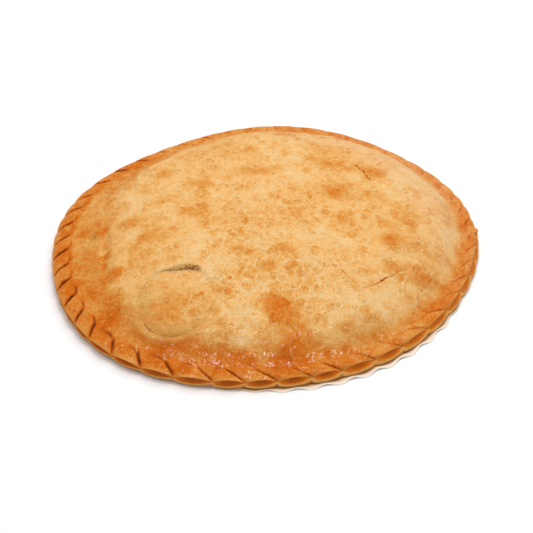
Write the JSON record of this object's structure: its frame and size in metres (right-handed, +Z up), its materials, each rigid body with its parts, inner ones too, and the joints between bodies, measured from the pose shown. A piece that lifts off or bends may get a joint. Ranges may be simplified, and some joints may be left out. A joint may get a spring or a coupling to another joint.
{
  "type": "meat empanada",
  "caption": "Round baked meat empanada: a low domed crust with a rope-crimped rim and a sunk round steam vent, on a fluted paper round.",
  "frame": {"origin": "on the surface that the paper round lies on, under the middle of the pie", "axes": "+Z up out of the top crust, -Y towards the side with the steam vent and the bared edge of the paper, +X to the right of someone who faces that side"},
  "size_m": [0.3003, 0.3012, 0.034],
  "materials": {
    "crust": "satin",
    "paper": "matte"
  },
  "bodies": {
    "root": {"empanada": "crust", "paper_round": "paper"}
  },
  "joints": []
}
